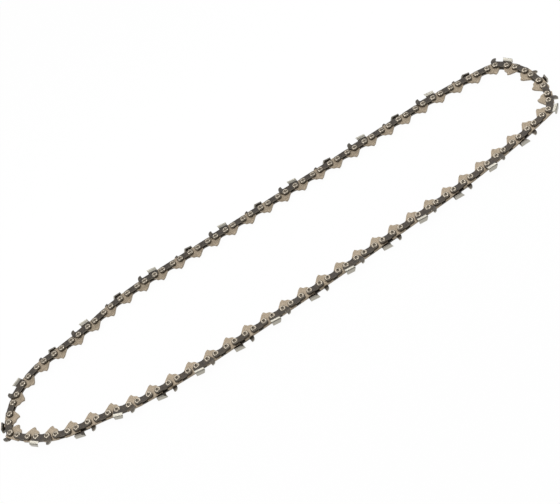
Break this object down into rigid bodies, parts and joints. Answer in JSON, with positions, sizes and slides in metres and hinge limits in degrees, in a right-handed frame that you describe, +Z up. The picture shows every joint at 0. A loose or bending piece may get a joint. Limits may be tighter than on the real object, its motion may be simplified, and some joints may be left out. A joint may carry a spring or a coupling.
{
  "type": "chainsaw chain loop",
  "caption": "Closed loop of saw chain lying on its side: drive links with tangs, riveted between tie straps and left and right cutters with depth gauges.",
  "frame": {"origin": "middle of the loop's outline on the surface that it lies on", "axes": "+X along the loop, +Y across it, +Z up, along every rivet"},
  "size_m": [0.5012, 0.1148, 0.0066],
  "materials": {
    "drive_steel": "tempered bare steel with a tan tint",
    "strap_steel": "dark blued steel",
    "cutter_chrome": "hard chrome on the tooth over blued steel"
  },
  "bodies": {
    "back_left": {"drive_links_back_left": "drive_steel", "left_cutters_back_left": "cutter_chrome", "cutter_straps_back_left": "strap_steel", "tie_links_back_left": "strap_steel", "right_cutters_back_left": "cutter_chrome"},
    "back_right": {"tie_links_back_right": "strap_steel", "drive_links_back_right": "drive_steel", "left_cutters_back_right": "cutter_chrome", "cutter_straps_back_right": "strap_steel", "right_cutters_back_right": "cutter_chrome"},
    "right_end": {"drive_links_right_end": "drive_steel", "right_cutters_right_end": "cutter_chrome", "cutter_straps_right_end": "strap_steel", "tie_links_right_end": "strap_steel", "left_cutters_right_end": "cutter_chrome"},
    "front_right": {"tie_links_front_right": "strap_steel", "drive_links_front_right": "drive_steel", "right_cutters_front_right": "cutter_chrome", "cutter_straps_front_right": "strap_steel", "left_cutters_front_right": "cutter_chrome"},
    "front_left": {"drive_links_front_left": "drive_steel", "right_cutters_front_left": "cutter_chrome", "cutter_straps_front_left": "strap_steel", "tie_links_front_left": "strap_steel", "left_cutters_front_left": "cutter_chrome"},
    "left_end": {"drive_links_left_end": "drive_steel", "left_cutters_left_end": "cutter_chrome", "cutter_straps_left_end": "strap_steel", "tie_links_left_end": "strap_steel", "right_cutters_left_end": "cutter_chrome"}
  },
  "joints": [
    {"name": "back_middle_hinge", "type": "hinge", "parent": "back_left", "child": "back_right", "pos_m": [0.01583, 0.04689, 0.0033], "axis": [0, 0, -1], "range_deg": [-20, 20]},
    {"name": "right_back_hinge", "type": "hinge", "parent": "back_right", "child": "right_end", "pos_m": [0.24217, 0.01358, 0.0033], "axis": [0, 0, -1], "range_deg": [-20, 20]},
    {"name": "right_front_hinge", "type": "hinge", "parent": "right_end", "child": "front_right", "pos_m": [0.22241, -0.03376, 0.0033], "axis": [0, 0, -1], "range_deg": [-20, 20]},
    {"name": "front_middle_hinge", "type": "hinge", "parent": "front_right", "child": "front_left", "pos_m": [0.0159, -0.04907, 0.0033], "axis": [0, 0, -1], "range_deg": [-20, 20]},
    {"name": "left_front_hinge", "type": "hinge", "parent": "front_left", "child": "left_end", "pos_m": [-0.21285, -0.02913, 0.0033], "axis": [0, 0, -1], "range_deg": [-20, 20]}
  ],
  "couplings": [
    {"joint": "right_back_hinge", "follows": "back_middle_hinge", "ratio": -1},
    {"joint": "right_front_hinge", "follows": "back_middle_hinge", "ratio": 1},
    {"joint": "front_middle_hinge", "follows": "back_middle_hinge", "ratio": -1},
    {"joint": "left_front_hinge", "follows": "back_middle_hinge", "ratio": 1}
  ]
}
